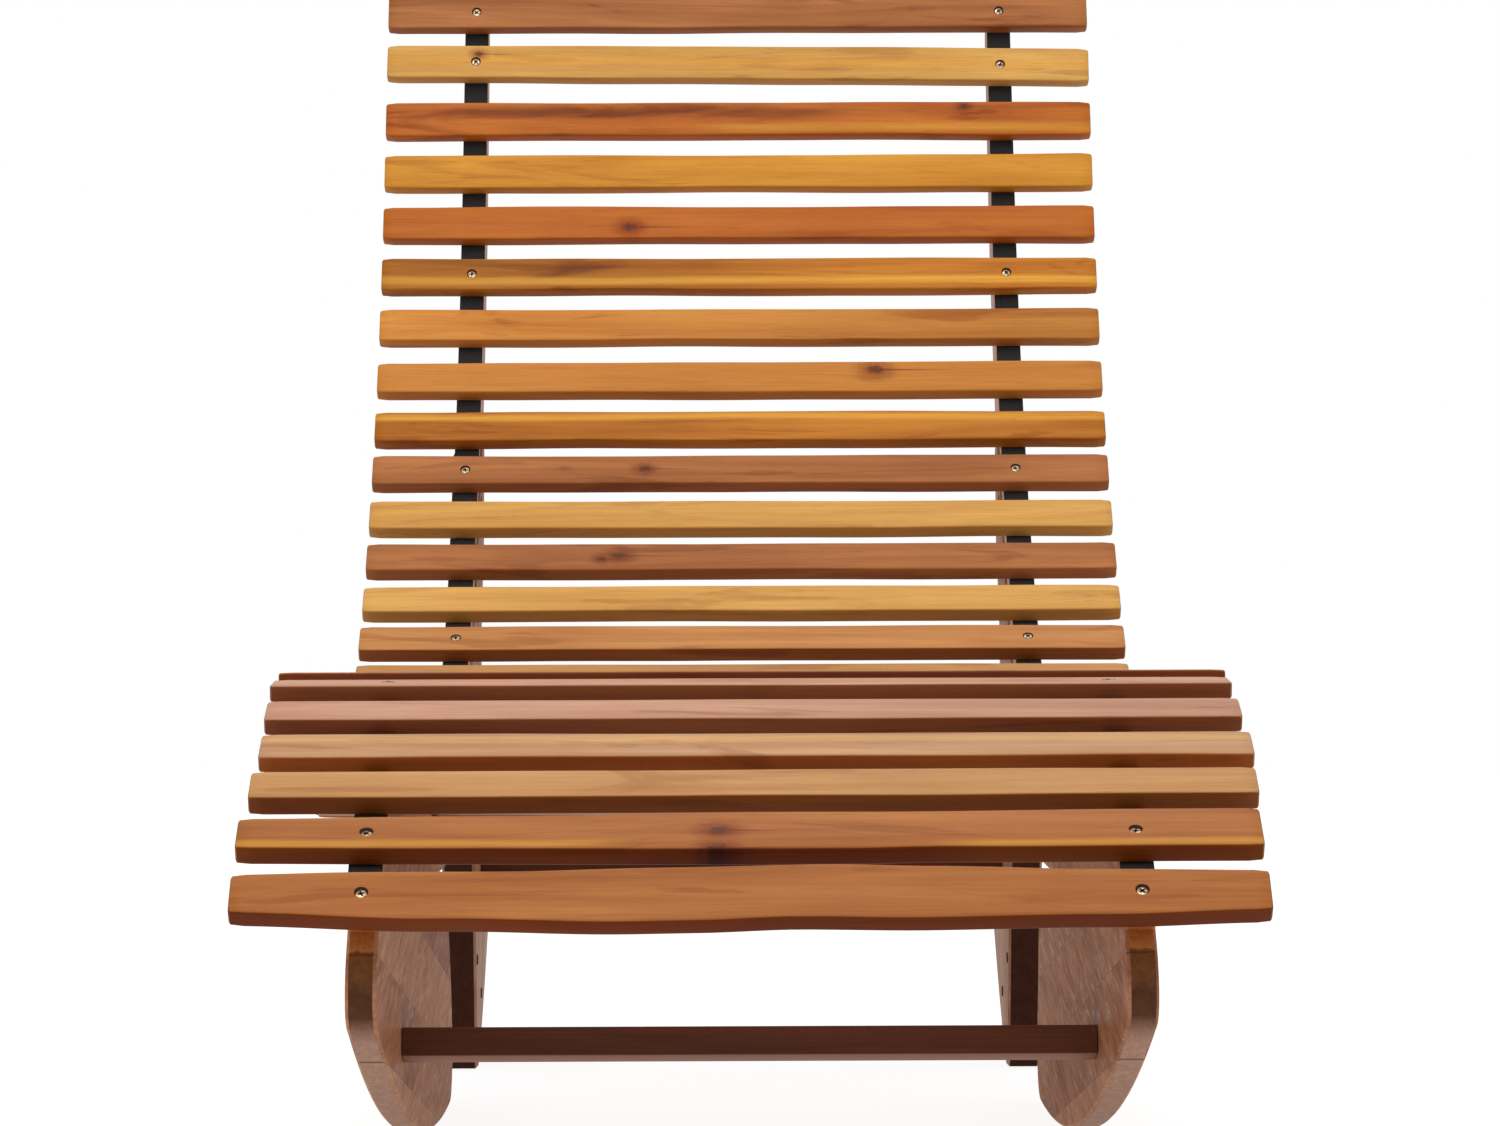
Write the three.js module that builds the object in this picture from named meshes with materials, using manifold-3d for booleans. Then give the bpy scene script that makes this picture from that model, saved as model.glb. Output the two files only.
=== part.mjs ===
// Rocking chaise lounge: slats on two webbing straps, carried by two curved side frames.
// Millimetres, +Z up. The foot end faces -Y and the back rises towards +Y.
import * as THREE from 'three';
import { mergeVertices } from 'three/addons/utils/BufferGeometryUtils.js';
import Module from 'manifold-3d';

// Slats
const slatCount = 35;
const slatLength = 600;
const slatWidth = 31;
const slatThickness = 13;
const slatGap = 20.5;
const slatEdgeRadius = 2;
const slatEndRadius = 1.5;
const slatPitch = slatWidth + slatGap;

// Every fourth slat from the second is screwed down, and so are the first and the last
const screwedEvery = 4;
const screwHeadRadius = 4.3;
const screwHeadDepth = 3;
const screwShankRadius = 2.2;

// Straps
const strapWidth = 20;
const strapThickness = 1.6;
const strapEndLap = 12;

// Seat line: the top edge of the side frames, as tangent arcs from the foot end to the head end
const seatStartForward = 678;
const seatStartHeight = 164;
const seatStartSlope = 49;
const toeLength = 60;
const toeTurn = -15;
const calfLength = 205;
const calfTurn = -15;
const kneeLength = 110;
const kneeTurn = -41;
const thighLength = 130;
const thighTurn = 3;
const seatLength = 595;
const seatTurn = 56;
const lumbarLength = 515;
const lumbarTurn = 33;
const endMargin = 18;

// Side frames
const boardThickness = 18;
const frameInnerWidth = 433;
const boardArris = 2;
const boardEndRadius = 14;
const rockerRadius = 2060;
const noseForward = 669;
const noseRadius = 20;
const lipInset = 10;
const lipReach = 647;
const lipHeight = 164;
const lipBendHeight = 145;
const toeReach = 136;
const toeRadius = 38;
const panelShoulderReach = 116;
const panelShoulderHeight = 130;
const panelArchReach = 22;
const neckWidth = 37;
const lumbarWidth = 78;
const headWidth = 64;
const headTaperStart = 1580;

// Rear feet: thicker boards, flush with the frames on the inside
const footThickness = 23;
const footLapStart = 1000;
const footLapEnd = 1400;
const footLapDepth = 34;
const instepReach = 437;
const instepHeight = 215;
const shinReach = 447;
const shinHeight = 118;
const footTipReach = 474;
const footTipRadius = 9;
const footTipLength = 21;
const soleReach = 602;
const soleHeight = 50;
const heelReach = 710;
const heelHeight = 143;
const heelRadius = 16;
const waistReach = 546;
const waistHeight = 336;
const waistRadius = 55;
const calfReach = 604;
const calfHeight = 430;

// The feet are drawn for a lap that ends here, and follow it when the seat line changes
const footDrawnReach = 613.6438;
const footDrawnHeight = 509.5593;

// Half lap where the rocker panels meet the back rails
const valleyLapStart = 690;
const valleyLapLength = 84;

// Stretchers
const stretcherThickness = 18;
const stretcherDepth = 30;
const stretcherEdgeRadius = 1.2;
const frontStretcherForward = 438;
const frontStretcherClearance = 28;
const rearStretcherReach = 540;
const rearStretcherHeight = 150;

// Bolts with sleeve nuts, and stretcher bolts
const boltRadius = 3;
const boltHeadRadius = 7;
const boltHeadThickness = 2.2;
const boltRecess = 2.6;
const boltSides = 12;
const boltInset = 22;
const stretcherBoltReach = 34;

// Working values
const touchGap = 0.3;
const overrun = 40;
const arcStep = 25;
const shortestStep = 5;
const finestTurn = THREE.MathUtils.degToRad(5);
const rockerSteps = 22;
const cornerSteps = 4;
const curveSteps = 8;
const edgeSteps = 2;
const screwHoleSides = 8;

const wasm = await Module();
wasm.setup();

// Wood tones of the slats, from the foot end to the head end
const tones = {
  even: 0xa96a35, orange: 0xa5652f, tan: 0xb0794a, light: 0xb98a58, pink: 0x9a6748, dark: 0x6f4327,
  honey: 0xc49255, red: 0x9c5426, golden: 0xb87a30, amber: 0xa8692d, brown: 0x96602f,
};
const slatTones = [
  'even', 'orange', 'tan', 'light', 'pink', 'pink', 'dark', 'amber', 'tan', 'golden', 'even', 'light',
  'amber', 'orange', 'golden', 'tan', 'brown', 'even', 'amber', 'golden', 'honey', 'red', 'light',
  'brown', 'golden', 'amber', 'brown', 'red', 'golden', 'golden', 'red', 'golden', 'amber', 'honey', 'red',
];
const woodFinish = (color) => new THREE.MeshStandardMaterial({ color, roughness: 0.45, metalness: 0 });
const panelFinish = woodFinish(0x8a5a38);
const strapFinish = new THREE.MeshStandardMaterial({ color: 0x151413, roughness: 0.85, metalness: 0 });
const steelFinish = new THREE.MeshStandardMaterial({ color: 0xb9b2a4, roughness: 0.35, metalness: 0.9 });

// Everything below is drawn from the side: x runs along the lounge, y is the height, z runs across.
// x is zero where the rockers touch the ground.
const lastSlatAt = endMargin + (slatCount - 1) * slatPitch;
const seatLineLength = lastSlatAt + endMargin;
const seatArcs = [
  [toeLength, toeTurn], [calfLength, calfTurn], [kneeLength, kneeTurn], [thighLength, thighTurn],
  [seatLength, seatTurn], [lumbarLength, lumbarTurn],
].map(([length, turn]) => ({ length, turn: THREE.MathUtils.degToRad(turn) }));

// The point, heading and curvature of the seat line at a distance along it
function seatAt(distance) {
  let x = -seatStartForward;
  let y = seatStartHeight;
  let heading = THREE.MathUtils.degToRad(seatStartSlope);
  let left = distance;
  for (const { length, turn } of seatArcs) {
    const run = Math.min(left, length);
    const curvature = turn / length;
    x += (Math.sin(heading + curvature * run) - Math.sin(heading)) / curvature;
    y += (Math.cos(heading) - Math.cos(heading + curvature * run)) / curvature;
    heading += curvature * run;
    left -= run;
    if (left <= 0) return { x, y, heading, curvature };
  }
  x += left * Math.cos(heading);
  y += left * Math.sin(heading);
  return { x, y, heading, curvature: 0 };
}

// A point square to the seat line, so far below it
function belowSeat(distance, depth) {
  const { x, y, heading } = seatAt(distance);
  return new THREE.Vector2(x + depth * Math.sin(heading), y - depth * Math.cos(heading));
}

// Distances along the seat line that draw it smoothly: short steps on tight arcs
function stations(from, to) {
  const marks = [from];
  let arcStart = 0;
  for (const { length, turn } of [...seatArcs, { length: seatLineLength, turn: 0 }]) {
    const count = Math.ceil(Math.max(Math.abs(turn) / finestTurn, turn ? length / arcStep : 1));
    for (let i = 1; i <= count; i++) {
      const mark = arcStart + (length * i) / count;
      if (mark > from + shortestStep && mark < to - shortestStep) marks.push(mark);
    }
    arcStart += length;
  }
  marks.push(to);
  return marks;
}

// A run of points beside the seat line, where depth is a number or a function of the distance
function runBelow(from, to, depth) {
  const depthAt = typeof depth === 'function' ? depth : () => depth;
  return stations(from, to).map((mark) => belowSeat(mark, depthAt(mark)));
}

// The width of the back rail along the seat line: narrow over the arch, wide at the waist, less at the head
const easing = (share) => (1 - Math.cos(Math.PI * THREE.MathUtils.clamp(share, 0, 1))) / 2;
const railBroadAt = (footLapStart + footLapEnd) / 2;
function railWidthAt(distance) {
  if (distance < railBroadAt) {
    const share = (distance - valleyLapStart) / (railBroadAt - valleyLapStart);
    return neckWidth + (lumbarWidth - neckWidth) * easing(share);
  }
  const share = (distance - headTaperStart) / (seatLineLength - headTaperStart);
  return lumbarWidth + (headWidth - lumbarWidth) * easing(share);
}

// A point of the foot's drawing, moved along and stretched in height with the end of its lap
const footLapCorner = belowSeat(footLapEnd, railWidthAt(footLapEnd));
const footPoint = (reach, height) => new THREE.Vector2(
  reach + footLapCorner.x - footDrawnReach, (height * footLapCorner.y) / footDrawnHeight,
);

// Where the foot's tongue starts, below the seat line
const footLapTop = (mark) => railWidthAt(mark) - footLapDepth;

// Outline helpers
const arcPoints = (cx, cy, radius, from, to, steps) => Array.from({ length: steps + 1 }, (_, i) => {
  const angle = from + ((to - from) * i) / steps;
  return new THREE.Vector2(cx + radius * Math.cos(angle), cy + radius * Math.sin(angle));
});
const bend = (start, control, end) => (
  new THREE.QuadraticBezierCurve(start, control, end).getPoints(curveSteps)
);
const vec = (x, y) => new THREE.Vector2(x, y);

// The corner of three points, rounded
function rounded(before, corner, after, radius) {
  const back = before.clone().sub(corner).normalize();
  const ahead = after.clone().sub(corner).normalize();
  const half = Math.acos(THREE.MathUtils.clamp(back.dot(ahead), -1, 1)) / 2;
  const reach = Math.min(radius / Math.tan(half), before.distanceTo(corner), after.distanceTo(corner));
  const start = corner.clone().addScaledVector(back, reach);
  const end = corner.clone().addScaledVector(ahead, reach);
  return new THREE.QuadraticBezierCurve(start, corner, end).getPoints(cornerSteps);
}

// Drops points that repeat the one before them
function tidyOutline(points) {
  const kept = points.filter((point, i) => i === 0 || point.distanceTo(points[i - 1]) > touchGap);
  if (kept[0].distanceTo(kept.at(-1)) < touchGap) kept.pop();
  return kept;
}

// A board cut to an outline, from one height across the lounge to another, with its arrises rounded
function board(points, near, far, arris = boardArris) {
  return new THREE.ExtrudeGeometry(new THREE.Shape(tidyOutline(points)), {
    depth: far - near - 2 * arris,
    bevelEnabled: arris > 0,
    bevelThickness: arris,
    bevelSize: arris,
    bevelOffset: -arris,
    bevelSegments: 1,
  }).translate(0, 0, near + arris);
}

// Solids for the cuts
function solid(geometry) {
  const bare = geometry.clone();
  bare.deleteAttribute('normal');
  bare.deleteAttribute('uv');
  const merged = mergeVertices(bare, 1e-4);
  return new wasm.Manifold(new wasm.Mesh({
    numProp: 3,
    vertProperties: new Float32Array(merged.attributes.position.array),
    triVerts: new Uint32Array(merged.index.array),
  }));
}

function geometryOf(manifold) {
  const { vertProperties, triVerts } = manifold.getMesh();
  const geometry = new THREE.BufferGeometry();
  geometry.setAttribute('position', new THREE.BufferAttribute(new Float32Array(vertProperties), 3));
  geometry.setIndex(new THREE.BufferAttribute(new Uint32Array(triVerts), 1));
  geometry.computeVertexNormals();
  return geometry;
}

function cut(geometry, cutters) {
  const body = cutters.reduce((left, cutter) => left.subtract(solid(cutter)), solid(geometry));
  return geometryOf(body);
}

// A round bar across the lounge, from a profile of [radius, height across] pairs
function turned(profile, x, y) {
  const points = profile.map(([radius, height]) => vec(radius, height));
  const geometry = new THREE.LatheGeometry(points, boltSides);
  geometry.rotateX(Math.PI / 2);
  return geometry.translate(x, y, 0);
}

// A plain hole across the lounge
const hole = (radius, x, y, near, far) => turned([[0, near], [radius, near], [radius, far], [0, far]], x, y);

const chair = new THREE.Group();
chair.quaternion.setFromRotationMatrix(new THREE.Matrix4().makeBasis(
  new THREE.Vector3(0, 1, 0), new THREE.Vector3(0, 0, 1), new THREE.Vector3(1, 0, 0),
));

function add(name, geometry, material, parent = chair) {
  const mesh = new THREE.Mesh(geometry, material);
  mesh.name = name;
  parent.add(mesh);
  return mesh;
}

// Both sides share one drawing. Heights across the lounge count outwards from the inner faces.
const sides = [['left', -1], ['right', 1]];
const inner = frameInnerWidth / 2;
const outer = inner + boardThickness;
const footOuter = inner + footThickness;
const middle = inner + boardThickness / 2;

// Turns a geometry drawn for the right side into the one for its side
function forSide(geometry, side) {
  if (side > 0) return geometry;
  const mirrored = geometry.index ? geometry.toNonIndexed() : geometry.clone();
  mirrored.scale(1, 1, -1);
  const position = mirrored.attributes.position;
  for (let i = 0; i < position.count; i += 3) {
    const first = new THREE.Vector3().fromBufferAttribute(position, i);
    const last = new THREE.Vector3().fromBufferAttribute(position, i + 2);
    position.setXYZ(i, last.x, last.y, last.z);
    position.setXYZ(i + 2, first.x, first.y, first.z);
  }
  mirrored.computeVertexNormals();
  return mirrored;
}

// Places of the bolts
const valleyLapEnd = valleyLapStart + valleyLapLength;
const lapBolts = [
  ...[valleyLapStart + boltInset, valleyLapEnd - boltInset].map((mark) => (
    belowSeat(mark, railWidthAt(mark) / 2))),
  ...[footLapStart + 3 * boltInset, footLapEnd - 3 * boltInset].map((mark) => (
    belowSeat(mark, railWidthAt(mark) - footLapDepth / 2))),
];

// Places of the stretchers: the front one lies along the rocking edge, the rear one stands on edge
const rockerAngle = Math.asin(-frontStretcherForward / rockerRadius);
const frontStretcherOff = rockerRadius - frontStretcherClearance - stretcherThickness / 2;
const rearStretcherAt = footPoint(rearStretcherReach, rearStretcherHeight);
const stretchers = [
  {
    name: 'front_stretcher',
    x: frontStretcherOff * Math.sin(rockerAngle),
    y: rockerRadius - frontStretcherOff * Math.cos(rockerAngle),
    turn: rockerAngle,
    face: outer,
  },
  {
    name: 'rear_stretcher',
    x: rearStretcherAt.x,
    y: rearStretcherAt.y,
    turn: Math.PI / 2,
    face: footOuter,
  },
];

// Front rocker panel: its front edge leans back over the nose, up to a lip that carries the first slat
function rockerPanelOutline() {
  const noseX = -noseForward + noseRadius;
  const noseY = rockerRadius - Math.sqrt((rockerRadius - noseRadius) ** 2 - noseX ** 2);
  const noseTurn = Math.atan2(noseY - rockerRadius, noseX) + 2 * Math.PI;
  const toeX = toeReach - toeRadius;
  const toeY = rockerRadius - Math.sqrt((rockerRadius - toeRadius) ** 2 - toeX ** 2);
  const toeTurnFrom = Math.atan2(toeY - rockerRadius, toeX);
  const lip = vec(-lipReach, lipHeight);
  const archAt = stations(valleyLapStart - overrun, valleyLapEnd)
    .map((mark) => ({ mark, point: belowSeat(mark, railWidthAt(mark)) }))
    .filter(({ point }) => point.x > panelArchReach);
  return [
    ...bend(lip, vec(-noseForward, lipBendHeight), vec(-noseForward, noseY)),
    ...arcPoints(noseX, noseY, noseRadius, Math.PI, noseTurn, cornerSteps),
    ...arcPoints(0, rockerRadius, rockerRadius, noseTurn - 2 * Math.PI, toeTurnFrom, rockerSteps),
    ...arcPoints(toeX, toeY, toeRadius, toeTurnFrom, 0, curveSteps),
    ...bend(vec(toeReach, toeY), vec(panelShoulderReach, panelShoulderHeight), archAt[0].point),
    ...archAt.map(({ point }) => point),
    ...runBelow(lipInset, valleyLapEnd, 0).reverse(),
  ];
}

// Back rail
function backRailOutline() {
  const lower = runBelow(valleyLapStart, seatLineLength, railWidthAt);
  const upper = runBelow(valleyLapStart, seatLineLength, 0).reverse();
  const lowerEnd = lower.pop();
  const upperEnd = upper.shift();
  return [
    ...lower,
    ...rounded(lower.at(-1), lowerEnd, upperEnd, boardEndRadius),
    ...rounded(lowerEnd, upperEnd, upper[0], boardEndRadius),
    ...upper,
  ];
}

// Rear foot: its tongue reaches up behind the back rail
function rearFootOutline() {
  const front = belowSeat(footLapStart, railWidthAt(footLapStart));
  const shin = footPoint(shinReach, shinHeight);
  const tip = footPoint(footTipReach, 0);
  const soleStart = footPoint(footTipReach + footTipLength, 0);
  const heel = footPoint(heelReach, heelHeight);
  const waist = footPoint(waistReach, waistHeight);
  const calf = footPoint(calfReach, calfHeight);
  const sole = bend(soleStart, footPoint(soleReach, soleHeight), heel);
  sole.pop();
  return [
    ...bend(front, footPoint(instepReach, instepHeight), shin),
    ...rounded(shin, tip, soleStart, footTipRadius),
    ...sole,
    ...rounded(sole.at(-1), heel, waist, heelRadius),
    ...rounded(heel, waist, calf, waistRadius),
    calf,
    footLapCorner,
    ...runBelow(footLapStart, footLapEnd, footLapTop).reverse(),
  ];
}

// The half of a lap that is cut away: a stretch beside the seat line, through half the thickness
function lapCutter(from, to, top, bottom, near, far) {
  const points = [...runBelow(from, to, bottom), ...runBelow(from, to, top).reverse()];
  return board(points, near, far, 0);
}

const halfGap = touchGap / 2;
const innerHalf = [inner - overrun, middle + halfGap];
const outerHalf = [middle - halfGap, outer + overrun];
const wholeValley = (mark) => railWidthAt(mark) + boardArris;
const boltHoles = lapBolts.flatMap(({ x, y }) => [
  hole(boltRadius + touchGap, x, y, inner - overrun, outer + overrun),
  hole(boltHeadRadius + touchGap, x, y, outer - boltRecess, outer + overrun),
  hole(boltHeadRadius + touchGap, x, y, inner - overrun, inner + boltRecess),
]);
const stretcherHoles = stretchers.flatMap(({ x, y, face }) => [
  hole(boltRadius + touchGap, x, y, inner - overrun, face + overrun),
  hole(boltHeadRadius + touchGap, x, y, face - boltRecess, face + overrun),
]);

const rockerPanel = cut(board(rockerPanelOutline(), inner, outer), [
  lapCutter(valleyLapStart - touchGap, valleyLapEnd + overrun, -overrun, wholeValley, ...innerHalf),
  ...boltHoles,
  ...stretcherHoles,
]);
const backRail = cut(board(backRailOutline(), inner, outer), [
  lapCutter(valleyLapStart - overrun, valleyLapEnd + touchGap, -overrun, wholeValley, ...outerHalf),
  lapCutter(
    footLapStart - touchGap, footLapEnd + touchGap,
    (mark) => footLapTop(mark) - touchGap, (mark) => railWidthAt(mark) + overrun, ...innerHalf,
  ),
  ...boltHoles,
]);
const rearFoot = cut(board(rearFootOutline(), inner, footOuter), [
  lapCutter(
    footLapStart - overrun, footLapEnd + overrun,
    -overrun, (mark) => railWidthAt(mark) + touchGap, ...outerHalf,
  ),
  ...boltHoles,
  ...stretcherHoles,
]);

for (const [name, side] of sides) {
  add(`front_rocker_${name}`, forSide(rockerPanel, side), panelFinish);
  add(`back_rail_${name}`, forSide(backRail, side), panelFinish);
  add(`rear_foot_${name}`, forSide(rearFoot, side), panelFinish);
}

// Bolts with their sleeve nuts, one through each lap bolt hole
const nutSeat = inner + boltRecess - touchGap;
const headRim = boltHeadRadius - boltHeadThickness / 2;
const headProfile = (face) => {
  const seat = face - boltRecess + touchGap;
  const top = seat + boltHeadThickness;
  return [[boltRadius, seat], [boltHeadRadius, seat], [headRim, top], [0, top]];
};
const nutProfile = [
  [0, nutSeat - boltHeadThickness], [headRim, nutSeat - boltHeadThickness],
  [boltHeadRadius, nutSeat], [boltRadius, nutSeat],
];
const lapBoltProfile = [...nutProfile, ...headProfile(outer)];
for (const [name, side] of sides) {
  lapBolts.forEach(({ x, y }, i) => {
    add(`frame_bolt_${name}_${i + 1}`, forSide(turned(lapBoltProfile, x, y), side), steelFinish);
  });
}

// Stretchers, with a blind hole in each end for the bolt
const stretcherEnd = inner - touchGap;
const boltTip = stretcherEnd - stretcherBoltReach;
for (const { name, x, y, turn, face } of stretchers) {
  const bar = new THREE.ExtrudeGeometry(roundedBar(stretcherDepth, stretcherThickness, stretcherEdgeRadius), {
    depth: 2 * stretcherEnd,
    curveSegments: edgeSteps,
    bevelEnabled: false,
  });
  bar.translate(0, 0, -stretcherEnd).rotateZ(turn).translate(x, y, 0);
  const endHole = hole(boltRadius + touchGap, x, y, boltTip - touchGap, stretcherEnd + overrun);
  add(name, cut(bar, [endHole, forSide(endHole, -1)]), panelFinish);
  const boltProfile = [[0, boltTip], [boltRadius, boltTip], ...headProfile(face)];
  for (const [sideName, side] of sides) {
    add(`${name}_bolt_${sideName}`, forSide(turned(boltProfile, x, y), side), steelFinish);
  }
}

// A bar's section, centred, with its long edges rounded
function roundedBar(width, thickness, radius) {
  const x = width / 2 - radius;
  const y = thickness / 2 - radius;
  const shape = new THREE.Shape();
  shape.absarc(x, y, radius, 0, Math.PI / 2);
  shape.absarc(-x, y, radius, Math.PI / 2, Math.PI);
  shape.absarc(-x, -y, radius, Math.PI, Math.PI * 1.5);
  shape.absarc(x, -y, radius, Math.PI * 1.5, Math.PI * 2);
  return shape;
}

// Straps: they lie on the frames under every slat
const strapFrom = endMargin - strapEndLap;
const strapTo = lastSlatAt + strapEndLap;
const strapPoints = [
  ...runBelow(strapFrom, strapTo, -touchGap),
  ...runBelow(strapFrom, strapTo, -touchGap - strapThickness).reverse(),
];
const strap = board(strapPoints, middle - strapWidth / 2, middle + strapWidth / 2, 0);
for (const [name, side] of sides) add(`strap_${name}`, forSide(strap, side), strapFinish);

// Slats: they sit on the straps, with countersunk holes where a screw goes into the frame
const slatBody = new THREE.ExtrudeGeometry(roundedBar(slatWidth, slatThickness, slatEdgeRadius), {
  depth: slatLength - 2 * slatEndRadius,
  curveSegments: edgeSteps,
  bevelEnabled: true,
  bevelThickness: slatEndRadius,
  bevelSize: slatEndRadius,
  bevelOffset: -slatEndRadius,
  bevelSegments: 1,
}).translate(0, 0, slatEndRadius - slatLength / 2);
const slatTop = slatThickness / 2;
const screwHole = new THREE.LatheGeometry([
  [0, slatTop + overrun], [screwHeadRadius, slatTop + overrun], [screwHeadRadius, slatTop],
  [screwShankRadius, slatTop - screwHeadDepth], [screwShankRadius, -slatTop - overrun],
  [0, -slatTop - overrun],
].reverse().map(([radius, height]) => vec(radius, height)), screwHoleSides);
const screwPair = [-middle, middle].map((across) => screwHole.clone().translate(0, 0, across));
const screwedBody = cut(slatBody, screwPair);
const flatHalf = slatWidth / 2 - slatEdgeRadius;

for (let i = 0; i < slatCount; i++) {
  const { x, y, heading, curvature } = seatAt(endMargin + i * slatPitch);
  const hollow = (Math.max(curvature, 0) * flatHalf ** 2) / 2;
  const facet = (Math.abs(curvature) * arcStep ** 2) / 8;
  const lift = touchGap + strapThickness + touchGap + hollow + facet + slatThickness / 2;
  const screwed = i === 0 || i === slatCount - 1 || (i - 1) % screwedEvery === 0;
  const number = String(i + 1).padStart(2, '0');
  const tone = tones[slatTones[i % slatTones.length]];
  const slat = add(`slat_${number}`, screwed ? screwedBody : slatBody, woodFinish(tone));
  slat.position.set(x - lift * Math.sin(heading), y + lift * Math.cos(heading), 0);
  slat.rotation.z = heading;
}

// The lounge stands centred on its origin
const lounge = new THREE.Group();
lounge.add(chair);
lounge.updateMatrixWorld(true);
const extent = new THREE.Box3().setFromObject(lounge, true);
const centre = extent.getCenter(new THREE.Vector3());
chair.position.set(-centre.x, -centre.y, -extent.min.z);

export default lounge;
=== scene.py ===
import math
import random
from functools import reduce

import bmesh
import bpy
from mathutils import Matrix, Vector, noise


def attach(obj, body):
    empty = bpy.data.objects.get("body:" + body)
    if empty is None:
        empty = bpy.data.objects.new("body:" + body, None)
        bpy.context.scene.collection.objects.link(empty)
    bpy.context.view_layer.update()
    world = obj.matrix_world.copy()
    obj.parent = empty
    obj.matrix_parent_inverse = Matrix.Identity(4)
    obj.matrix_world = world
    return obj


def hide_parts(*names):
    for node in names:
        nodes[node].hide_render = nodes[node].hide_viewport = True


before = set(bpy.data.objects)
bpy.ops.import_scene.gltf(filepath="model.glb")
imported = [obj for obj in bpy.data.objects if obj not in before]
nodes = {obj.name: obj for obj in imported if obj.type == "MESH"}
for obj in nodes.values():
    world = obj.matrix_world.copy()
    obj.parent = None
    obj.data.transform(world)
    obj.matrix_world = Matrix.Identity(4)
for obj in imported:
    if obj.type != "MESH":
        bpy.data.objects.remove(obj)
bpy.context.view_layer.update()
scene = bpy.context.scene
print("frame loaded:", len(nodes), "pieces")

millimetre = 0.001
sides = ((-1, "left"), (1, "right"))


# Shader maths
class Wire:
    # One output socket of a material's node tree. Sums on wires add Math nodes.
    def __init__(self, tree, socket):
        self.tree = tree
        self.socket = socket

    def node(self, kind, settings=None, sockets=None, out=0):
        made = self.tree.nodes.new("ShaderNode" + kind)
        for key, value in (settings or {}).items():
            if key == "stops":
                setStops(made.color_ramp, value)
            else:
                setattr(made, key, value)
        for key, value in (sockets or {}).items():
            if isinstance(value, Wire):
                self.tree.links.new(value.socket, made.inputs[key])
            else:
                made.inputs[key].default_value = value
        return Wire(self.tree, made.outputs[out])

    def math(self, operation, *values):
        return self.node("Math", {"operation": operation}, dict(enumerate(values)))

    def __add__(self, other):
        return self.math("ADD", self, other)

    def __radd__(self, other):
        return self.math("ADD", other, self)

    def __sub__(self, other):
        return self.math("SUBTRACT", self, other)

    def __rsub__(self, other):
        return self.math("SUBTRACT", other, self)

    def __mul__(self, other):
        return self.math("MULTIPLY", self, other)

    def __rmul__(self, other):
        return self.math("MULTIPLY", other, self)

    def __truediv__(self, other):
        return self.math("DIVIDE", self, other)

    def __rtruediv__(self, other):
        return self.math("DIVIDE", other, self)

    def __pow__(self, power):
        return self.math("POWER", self, power)

    def __abs__(self):
        return self.math("ABSOLUTE", self)

    def step(self, low, high, start=0.0, end=1.0):  # goes smoothly from start to end between low and high
        sockets = {"Value": self, "From Min": low, "From Max": high, "To Min": start, "To Max": end}
        return self.node("MapRange", {"interpolation_type": "SMOOTHSTEP"}, sockets)

    def either(self, other):
        return self.math("MAXIMUM", self, other)

    def parts(self):
        split = self.node("SeparateXYZ", None, {"Vector": self}).socket.node
        return [Wire(self.tree, socket) for socket in split.outputs]

    def vector(self, x, y, z):
        return self.node("CombineXYZ", None, {"X": x, "Y": y, "Z": z})

    def stretched(self, factors, shift):  # a vector times factors, plus a fixed shift
        return self.node("VectorMath", {"operation": "MULTIPLY_ADD"}, {0: self, 1: factors, 2: shift})

    def noise(self, detail, roughness, distortion=0.0):
        texture = {"Scale": 1.0, "Detail": detail, "Roughness": roughness, "Distortion": distortion}
        return self.node("TexNoise", None, {"Vector": self, **texture})

    def layer(self, grain, shift):  # noise from a row: factors, how many shifts away, and the noise's numbers
        factors, away, *texture = grain
        return self.stretched(factors, Vector(shift) * away).noise(*texture)

    def mix(self, first, second):  # self is the factor between two colours
        settings = {"data_type": "RGBA", "clamp_factor": True}
        return self.node("Mix", settings, {0: self, 6: first, 7: second}, out=2)

    def times(self, shade):  # a colour times a colour, or times one number for all its parts
        settings = {"data_type": "RGBA", "blend_type": "MULTIPLY"}
        return self.node("Mix", settings, {0: 1.0, 6: self, 7: shade}, out=2)

    def shades(self, look):  # between the dark and the light colour of a look
        return self.mix(colour(*look["dark"]), colour(*look["light"]))


def setStops(ramp, stops):
    while len(ramp.elements) < len(stops):
        ramp.elements.new(0.5)
    while len(ramp.elements) > len(stops):
        ramp.elements.remove(ramp.elements[-1])
    for element, (place, value) in zip(ramp.elements, stops):
        element.position = place
        element.color = value


def colour(*shades):  # red, green and blue from 0 to 255, as seen on a screen
    return (*(((shade / 255 + 0.055) / 1.055) ** 2.4 for shade in shades), 1.0)


def newMaterial(name):
    material = bpy.data.materials.new(name)
    material.use_nodes = True
    tree = material.node_tree
    shader = next(node for node in tree.nodes if node.type == "BSDF_PRINCIPLED")
    start = Wire(tree, None)
    return material, shader, start


def plug(wire, shader, name):
    wire.tree.links.new(wire.socket, shader.inputs[name])


def dress(shader, look, base, roughness, relief):
    plug(base, shader, "Base Color")
    plug(roughness, shader, "Roughness")
    bump = {"Height": relief, "Strength": look["bumpStrength"], "Distance": look["bumpDistance"]}
    plug(relief.node("Bump", None, bump), shader, "Normal")
    if "specular" in look:
        shader.inputs["Specular IOR Level"].default_value = look["specular"]


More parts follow.
